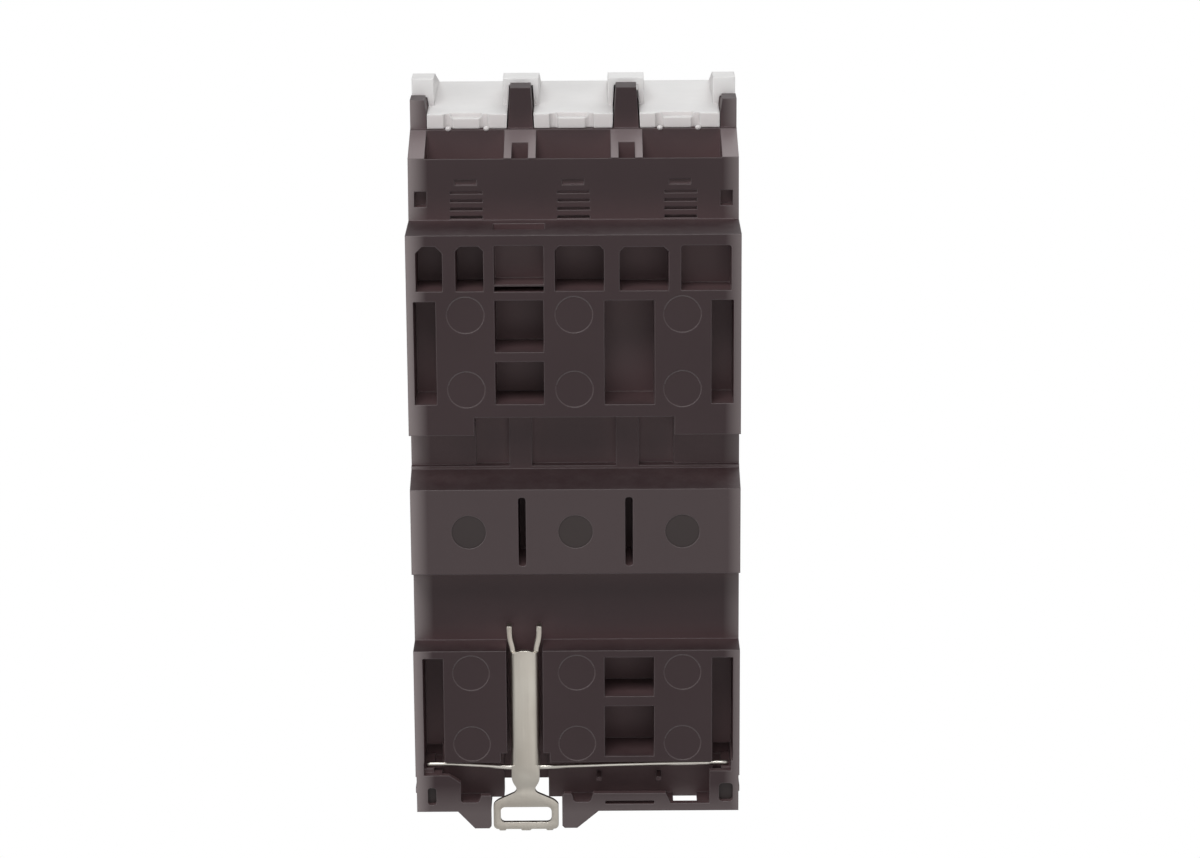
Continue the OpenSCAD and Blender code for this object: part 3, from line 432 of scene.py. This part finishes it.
finishes = {
    # Dark housing: its Recess colour paints bounce light, its Foot colour a highlight, its Flank
    # colour light on sides, flange and band.
    "dark_housing": plastic("dark_housing", (0.033, 0.018, 0.020), (0.040, 0.024, 0.026),
                            (0.17, 0.145, 0.148), 0.46, radius=0.28, edge_highlight_share=0.7, gloss=0.28,
                            painted_shading={"Recess": (0.118, 0.071, 0.074), "Foot": (0.18, 0.142, 0.146),
                                  "Flank": (0.23, 0.196, 0.196)}),
    # The rim colour is the housing plastic painted lighter as a highlight.
    "mark_rim_highlight": plastic("mark_rim_highlight", (0.085, 0.068, 0.070), (0.10, 0.083, 0.085),
                        (0.12, 0.10, 0.10), 0.4, radius=0.02, gloss=0.35),
    "mark_floor": plastic("mark_floor", (0.032, 0.023, 0.023), (0.038, 0.028, 0.027),
                          (0.05, 0.04, 0.04), 0.46, radius=0.02, gloss=0.30),
    "pale_cover": plastic("pale_cover", (0.66, 0.655, 0.64), (0.71, 0.705, 0.69),
                          (0.80, 0.80, 0.78), 0.42, radius=0.5),
    # White cover: its Recess and Lip colours are painted shade.
    "white_cover": plastic("white_cover", (0.74, 0.73, 0.725), (0.79, 0.785, 0.78),
                           (0.90, 0.90, 0.89), 0.38, radius=0.35, dust=0.04, thin=0.2,
                           painted_shading={"Recess": (0.70, 0.67, 0.665), "Lip": (0.68, 0.645, 0.64)}),
    "carrier_plastic": plastic("carrier_plastic", (0.02, 0.02, 0.022), (0.03, 0.03, 0.032),
                               (0.09, 0.09, 0.09), 0.4),
    "bobbin_plastic": plastic("bobbin_plastic", (0.60, 0.53, 0.38), (0.68, 0.60, 0.45),
                              (0.75, 0.68, 0.55), 0.4, thin=0.1),
    "indicator_plastic": plastic("indicator_plastic", (0.62, 0.62, 0.58), (0.70, 0.70, 0.66),
                                 (0.78, 0.78, 0.75), 0.4),
    "cushion_rubber": plastic("cushion_rubber", (0.012, 0.012, 0.012), (0.02, 0.02, 0.02),
                              (0.04, 0.04, 0.04), 0.8, grain=1200, depth=0.6),
    "label_card": plastic("label_card", (0.80, 0.80, 0.78), (0.84, 0.84, 0.82),
                          (0.86, 0.86, 0.85), 0.65, grain=6000, depth=0.15, radius=0.05),
    # The clip's pale edge colour is a painted highlight.
    "clip_steel": metal("clip_steel", (0.43, 0.39, 0.34), (0.48, 0.45, 0.40), 0.36,
                        edge_highlight=(0.72, 0.69, 0.63)),
    "spring_wire": metal("spring_wire", (0.55, 0.52, 0.47), (0.66, 0.63, 0.58), 0.28,
                         stretch=(0.03, 1, 1)),
    "laminated_iron": metal("laminated_iron", (0.27, 0.27, 0.28), (0.34, 0.34, 0.35), 0.42,
                            stretch=(1, 0.01, 0.01), scale=1500, depth=0.8),
    "ring_copper": metal("ring_copper", (0.70, 0.34, 0.20), (0.78, 0.42, 0.27), 0.3),
    "winding_copper": metal("winding_copper", (0.45, 0.15, 0.06), (0.55, 0.21, 0.09), 0.3,
                            stretch=(0.01, 1, 0.01), scale=1800, depth=1.0),
    "lead_brass": metal("lead_brass", (0.66, 0.50, 0.22), (0.75, 0.60, 0.30), 0.3),
    "clamp_steel": metal("clamp_steel", (0.50, 0.50, 0.50), (0.60, 0.60, 0.58), 0.32,
                         stretch=(1, 0.05, 1)),
    "screw_steel": metal("screw_steel", (0.56, 0.55, 0.52), (0.66, 0.65, 0.62), 0.3,
                         stretch=(1, 0.2, 1)),
    "bar_copper": metal("bar_copper", (0.68, 0.38, 0.25), (0.76, 0.47, 0.33), 0.3),
    "contact_silver": metal("contact_silver", (0.80, 0.80, 0.78), (0.88, 0.88, 0.86), 0.25),
    "arc_steel": metal("arc_steel", (0.36, 0.35, 0.34), (0.44, 0.43, 0.41), 0.4),
}
print(len(finishes), "finishes")

# %% [markdown]
# Clear plastic is the one finish that light goes through. It keeps a plain shader: full
# transmission, a low roughness, and the index of acrylic.

# %% Clear window finish
clear, tree, shader = start_finish("clear_window")
skin = put(clear, grain_group, Scale=900.0)
shader.inputs["Transmission Weight"].default_value = 1.0
shader.inputs["IOR"].default_value = 1.49
tree.links.new(span(tree, skin.outputs["Tone"], 0, 1, 0.02, 0.08), shader.inputs["Roughness"])
finishes["clear_window"] = clear
print("clear window added to", len(finishes), "finishes")

# %% [markdown]
# ## Dressing the mechanical parts
# Every part of the frame names the slot of its material in its record, so one loop dresses them all.
# Their meshes and places are never touched here.

# %% Dress the CAD nodes
slot_of = {row["node"]: row["material_slot"] for row in frame["record"]["subparts"]}
for node, ob in frame["nodes"].items():
    ob.data.materials.clear()
    ob.data.materials.append(finishes[slot_of[node]])
print("dressed", len(frame["nodes"]), "nodes")

# %% [markdown]
# ## The bent clip
# The real clip is stamped from one strip of spring steel: a flat web, two sides folded up along the
# web, a prong at the end of each side that hooks behind the rail, and a pull tab with a window for a
# screwdriver. Making it the same way gives the right shape at every bend, so the outline is drawn
# flat, its corners are rounded, and the sides are then spun round the fold lines and drawn out.

# %% Helpers for thin metal
def finish_mesh(name, bm, body, slot_name, *replaced, finish=None):
    """Turns a bmesh drawn in millimetres into a smooth piece that rides on a body."""
    for face in bm.faces:
        face.smooth = True
    bmesh.ops.scale(bm, vec=(MM, MM, MM), verts=bm.verts)
    mesh = bpy.data.meshes.new(name)
    bm.to_mesh(mesh)
    bm.free()
    ob = bpy.data.objects.new(name, mesh)
    scene.collection.objects.link(ob)
    ob.data.materials.append(finishes[finish or slot_name])
    if body:
        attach(ob, body)
    if replaced:
        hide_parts(*replaced)
    return ob


def rounded_loop(bm, corners, y):
    """A closed wire in the plane at y. Each corner is (x, z, radius)."""
    verts = [bm.verts.new((x, y, z)) for x, z, radius in corners]
    for first, second in zip(verts, verts[1:] + verts[:1]):
        bm.edges.new((first, second))
    for vert, (x, z, radius) in zip(verts, corners):
        if radius:
            bmesh.ops.bevel(bm, geom=[vert], offset=radius, offset_type="OFFSET", segments=5,
                            profile=0.5, affect="VERTICES", material=-1)


def mirrored(corners):
    """The corners of a right half, followed by the same corners on the left."""
    return corners + [(-x, z, radius) for x, z, radius in reversed(corners)]


def new_parts(result, kind):
    """The new vertices or edges of an extrusion, without the old ones."""
    return [part for part in result["geom"] if isinstance(part, kind)]


print("metal helpers ready")

# %% Clip outline
clip_low, clip_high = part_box("rail_clip")
clip_x = (clip_low.x + clip_high.x) / 2 / MM
clip_rear = clip_low.y / MM
clip_deep = clip_high.y / MM
tab_foot = clip_low.z / MM
prong_tip = clip_high.z / MM
sheet, fold_radius = 0.8, 0.32
sheet_y = clip_rear + sheet / 2
half_web, half_tab = 2.33, 5.44
fold_x = half_web - sheet / 2 - fold_radius
web_top, side_end = -20.95, -40.7
edge_z = tab_foot + 0.25
outer = mirrored([
    (0.75, web_top + 0.3, 0.5), (fold_x, web_top, 0), (fold_x, side_end, 0),
    (half_web, side_end, 0.1), (half_web, -43.5, 0.7), (1.5, -44.75, 0.35), (1.7, -45.5, 0.4),
    (4.8, -46.9, 0.5), (half_tab, -47.6, 0.3), (half_tab, edge_z, 0.8),
    (4.6, edge_z, 0), (4.4, tab_foot, 0.1), (3.5, tab_foot, 0.1),
    (3.3, edge_z, 0), (0.9, edge_z, 0), (0.7, tab_foot, 0.1)])
window = mirrored([(4.26, -48.1, 0.75), (4.26, -50.8, 0.75)])
bm = bmesh.new()
rounded_loop(bm, outer, sheet_y)
rounded_loop(bm, window, sheet_y)
bmesh.ops.triangle_fill(bm, use_beauty=True, edges=bm.edges[:])
print("clip blank", len(bm.faces), "faces")

# %% Fold the sides and draw the prongs
# Each step of a prong: its height, how far it has flared outwards, and its width against the side's
PRONG_STEPS = ((-20.4, 0.06, 1.0), (-19.8, 0.2, 0.98), (-19.2, 0.36, 0.94), (-18.6, 0.47, 0.88),
               (-18, 0.52, 0.8), (prong_tip - 0.75, 0.53, 0.66), (prong_tip - 0.6, 0.53, 0.4))


def is_fold(edge, side):
    """Whether an edge lies on the fold line of one side of the web."""
    return all(abs(v.co.x - side * fold_x) < 1e-4 and v.co.z > side_end - 0.01
               for v in edge.verts) and abs(edge.verts[0].co.z - edge.verts[1].co.z) > 1


for side in (1, -1):
    fold = [edge for edge in bm.edges if is_fold(edge, side)]
    spun = bmesh.ops.spin(bm, geom=fold + [v for edge in fold for v in edge.verts],
                          cent=(side * fold_x, sheet_y + fold_radius, 0), axis=(0, 0, 1),
                          angle=side * math.pi / 2, steps=6, use_duplicate=False)
    rim = [part for part in spun["geom_last"] if isinstance(part, bmesh.types.BMEdge)]
    grown = bmesh.ops.extrude_edge_only(bm, edges=rim)
    depth = clip_deep - sheet_y - fold_radius
    bmesh.ops.translate(bm, vec=(0, depth, 0), verts=new_parts(grown, bmesh.types.BMVert))
    side_x = side * (fold_x + fold_radius)
    top = [edge for edge in bm.edges
           if all(abs(v.co.x - side_x) < 1e-4 and v.co.z > web_top - 0.01 for v in edge.verts)]
    last_z, last_flare, last_wide, middle_y = web_top, 0.0, 1.0, clip_deep - depth / 2
    for z, flare, wide in PRONG_STEPS:
        grown = bmesh.ops.extrude_edge_only(bm, edges=top)
        verts = new_parts(grown, bmesh.types.BMVert)
        top = [edge for edge in new_parts(grown, bmesh.types.BMEdge)
               if all(v in verts for v in edge.verts)]
        bmesh.ops.translate(bm, vec=(side * (flare - last_flare), 0, z - last_z), verts=verts)
        bmesh.ops.scale(bm, vec=(1, wide / last_wide, 1), verts=verts,
                        space=Matrix.Translation((0, -middle_y, 0)))
        last_z, last_flare, last_wide = z, flare, wide
bmesh.ops.remove_doubles(bm, verts=bm.verts, dist=1e-4)
bmesh.ops.recalc_face_normals(bm, faces=bm.faces)
bmesh.ops.translate(bm, vec=(clip_x, 0, 0), verts=bm.verts)
clip = finish_mesh("bent_rail_clip", bm, "clip", "clip_steel", "rail_clip")
thick = clip.modifiers.new("sheet_thickness", "SOLIDIFY")
thick.thickness = sheet * MM
thick.offset = 0
soft_rim = clip.modifiers.new("tumbled_rim", "BEVEL")
soft_rim.width = 0.14 * MM
soft_rim.segments = 2
soft_rim.limit_method = "ANGLE"
soft_rim.angle_limit = math.radians(50)
print("bent clip", len(clip.data.polygons), "faces")

# %% [markdown]
# ## The spring wire
# A straight music wire lies across the housing. Its ends rest on two ledges and the clip holds its
# middle down, so it bows like a beam. Pulling the clip bows it further. It is made in two halves that
# meet behind the clip, each bowed from the clip, which carries its middle, to the housing, where its
# end stays.

# %% Spring wire halves
wire_low, wire_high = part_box("clip_spring")
wire_radius = 0.4
wire_y = (wire_low.y + wire_high.y) / 2 / MM
rest_z = wire_high.z / MM - wire_radius
held_z = wire_low.z / MM + wire_radius
WIRE_SIDES, WIRE_STEPS, SADDLE = 14, 26, 2.9


def wire_height(x, end_x):
    """The height of the bowed wire: flat under the clip, then rising to its end as a beam does."""
    run = (abs(x - clip_x) - SADDLE) / (abs(end_x - clip_x) - SADDLE - 2.5)
    run = min(max(run, 0.0), 1.0)
    return held_z + (rest_z - held_z) * run * (1.5 - 0.5 * run * run)


for name, end_x in (("spring_wire_left", wire_low.x / MM), ("spring_wire_right", wire_high.x / MM)):
    bm = bmesh.new()
    ring = bmesh.ops.create_circle(bm, cap_ends=True, segments=WIRE_SIDES, radius=wire_radius)
    bmesh.ops.rotate(bm, cent=(0, 0, 0), matrix=Matrix.Rotation(math.pi / 2, 3, "Y"),
                     verts=ring["verts"])
    bmesh.ops.translate(bm, vec=(clip_x, wire_y, held_z), verts=ring["verts"])
    rim, last_x = bm.edges[:], clip_x
    for step in range(1, WIRE_STEPS + 1):
        x = clip_x + (end_x - clip_x) * step / WIRE_STEPS
        grown = bmesh.ops.extrude_edge_only(bm, edges=rim)
        verts = new_parts(grown, bmesh.types.BMVert)
        rim = [edge for edge in new_parts(grown, bmesh.types.BMEdge)
               if all(v in verts for v in edge.verts)]
        bmesh.ops.translate(bm, verts=verts, vec=(
            x - last_x, 0, wire_height(x, end_x) - wire_height(last_x, end_x)))
        last_x = x
    bmesh.ops.edgeloop_fill(bm, edges=rim)
    bmesh.ops.bevel(bm, geom=rim, offset=0.12, offset_type="OFFSET", segments=2, profile=0.5,
                    affect="EDGES", material=-1)
    bmesh.ops.recalc_face_normals(bm, faces=bm.faces)
    half = finish_mesh(name, bm, None, "spring_wire", "clip_spring")
    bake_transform(half)
    print(name, len(half.data.vertices), "vertices")

# %% [markdown]
# ## Coil springs
# Two springs push the moving system back out, and one behind each bridge presses the contacts
# together. A round wire spun about the spring's axis while it climbs makes the true helix in one
# operation. The return springs ride on the housing and the contact springs on the carrier.

# %% Coil springs
def coil(bm, centre, coil_radius, wire, turns, y_from, y_to):
    """Adds one closed coil spring along Y to a bmesh."""
    steps = turns * 20
    climb = (y_to - y_from - 2 * wire) / steps
    ring = bmesh.ops.create_circle(bm, cap_ends=False, segments=8, radius=wire)["verts"]
    bmesh.ops.translate(bm, verts=ring, vec=(centre[0] + coil_radius, y_from + wire, centre[1]))
    edges = [edge for vert in ring for edge in vert.link_edges]
    bmesh.ops.spin(bm, geom=ring + list(set(edges)), cent=(centre[0], 0, centre[1]),
                   axis=(0, 1, 0), dvec=(0, climb, 0), angle=2 * math.pi * turns, steps=steps,
                   use_duplicate=False)
    bmesh.ops.holes_fill(bm, edges=[edge for edge in bm.edges if edge.is_boundary], sides=8)


return_radius, return_wire = 3.2, 0.4
low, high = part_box("return_springs")
mid_z = (low.z + high.z) / 2 / MM
spring_x = high.x / MM - return_radius - return_wire
bm = bmesh.new()
for x in (-spring_x, spring_x):
    coil(bm, (x, mid_z), return_radius, return_wire, 5, low.y / MM, high.y / MM)
bmesh.ops.recalc_face_normals(bm, faces=bm.faces)
springs = finish_mesh("return_coils", bm, "body", "spring_wire", "return_springs")
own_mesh(springs)

# %% Contact springs
for number in (1, 2, 3):
    low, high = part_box(f"contact_spring_{number}")
    bm = bmesh.new()
    coil(bm, ((low.x + high.x) / 2 / MM, mid_z), 2.4, 0.35, 4, low.y / MM, high.y / MM)
    bmesh.ops.recalc_face_normals(bm, faces=bm.faces)
    spring = finish_mesh(f"contact_coil_{number}", bm, "carrier", "spring_wire",
                         f"contact_spring_{number}")
    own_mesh(spring)

# %% [markdown]
# ## Mould marks
# Ejector pins leave shallow round marks on the solid piers, each with a fine raised rim. The rim
# shows only where the light meets it, so a thin wire is spun round the upper part of each mark. In
# the middle band the pins were polished: the floors of the marks are smooth and dark, and each gets a
# disc with an inset, slightly raised middle. A bump in the material would have no rims from the side.

# %% Mould marks
pole_pitch = 17.5
poles = (-pole_pitch, 0, pole_pitch)
rear_y = base_low.y / MM
PIER_MARKS = (36.5, 24.1, -24.3, -36.7)
pier_mark_radius, band_mark_radius, rim_wire = 2.98, 2.79, 0.07
ARC_START, ARC_TURN = math.radians(-15), math.radians(-150)


def spun_arc(bm, x, z, y, radius, wire):
    """The upper part of a thin ring round the Y axis through (x, z)."""
    ring = bmesh.ops.create_circle(bm, cap_ends=True, segments=8, radius=wire)["verts"]
    bmesh.ops.translate(bm, verts=ring, vec=(x + radius, y, z))
    bmesh.ops.rotate(bm, verts=ring, cent=(x, y, z), matrix=Matrix.Rotation(ARC_START, 3, "Y"))
    edges = list({edge for vert in ring for edge in vert.link_edges})
    bmesh.ops.spin(bm, geom=ring + edges, cent=(x, y, z), axis=(0, 1, 0), angle=ARC_TURN,
                   steps=28, use_duplicate=False)
    bmesh.ops.holes_fill(bm, edges=[edge for edge in bm.edges if edge.is_boundary], sides=8)


bm = bmesh.new()
for x in poles:
    for z in PIER_MARKS:
        spun_arc(bm, x, z, rear_y + rim_wire, pier_mark_radius, rim_wire)
bmesh.ops.recalc_face_normals(bm, faces=bm.faces)
# The rims' lighter finish is a painted highlight.
finish_mesh("pin_mark_rims", bm, "body", "dark_housing", finish="mark_rim_highlight")
print(len(poles) * len(PIER_MARKS), "rims on the piers")

# %% Marks of the middle band
bm = bmesh.new()
for x in poles:
    disc = bmesh.ops.create_circle(bm, cap_ends=True, segments=48,
                                   radius=band_mark_radius)["verts"]
    bmesh.ops.rotate(bm, verts=disc, cent=(0, 0, 0), matrix=Matrix.Rotation(math.pi / 2, 3, "X"))
    bmesh.ops.translate(bm, verts=disc, vec=(x, rear_y + 0.12, 0))
bmesh.ops.inset_individual(bm, faces=bm.faces[:], thickness=0.4, depth=0.03)
bmesh.ops.recalc_face_normals(bm, faces=bm.faces)
finish_mesh("band_mark_floors", bm, "body", "dark_housing", finish="mark_floor")
print(len(poles), "marks in the band")

# %% [markdown]
# ## Corner holes
# Two blind holes at the lower corners of the flange are painted dark as shade: a small plate just
# above each floor carries the dark finish of the band marks.

# %% Painted shade plates in the corner holes
hole_floor_y = rear_y + 1.05
CORNER_HOLES = ((-24.3, -46, 1.4, 3), (24.75, -45.5, 2.3, 3.2))
bm = bmesh.new()
for x, z, wide, high in CORNER_HOLES:
    plate = bmesh.ops.create_grid(bm, x_segments=1, y_segments=1, size=0.5)["verts"]
    bmesh.ops.scale(bm, vec=(wide, high, 1), verts=plate)
    bmesh.ops.rotate(bm, verts=plate, cent=(0, 0, 0), matrix=Matrix.Rotation(math.pi / 2, 3, "X"))
    bmesh.ops.translate(bm, verts=plate, vec=(x, hole_floor_y, z))
# The dark plates paint the shade of the holes.
finish_mesh("corner_hole_shade_plates", bm, "body", "dark_housing", finish="mark_floor")
print(len(CORNER_HOLES), "corner holes")

# %% [markdown]
# ## Hook tips of the terminal cover
# The cover snaps on with small hooks. Their round tips rest on the rear edge of the dark deck, below
# the hook channels of the two outer poles, and stand out as bright dots. A squashed sphere is enough
# for so small a part.

# %% Hook tips
cover_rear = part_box("line_terminal_cover")[0].y / MM
deck_z, tip_radius = 62.7, 0.5
bm = bmesh.new()
for pole in (-pole_pitch, pole_pitch):
    for x in (-3.2, 3.1):
        ball = bmesh.ops.create_uvsphere(bm, u_segments=20, v_segments=12,
                                         radius=tip_radius)["verts"]
        bmesh.ops.scale(bm, verts=ball, vec=(1, 1, 0.85))
        bmesh.ops.translate(bm, verts=ball, vec=(pole + x, cover_rear - 0.35, deck_z + 0.15))
finish_mesh("cover_hook_tips", bm, "body", "white_cover")
print("four hook tips")

# %% [markdown]
# ## Sizes
# The size of the visual model is printed in millimetres. The visual model may not be larger
# than the mechanical one.

low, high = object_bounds()
print("visual size in mm", [round((b - a) / MM, 1) for a, b in zip(low, high)])
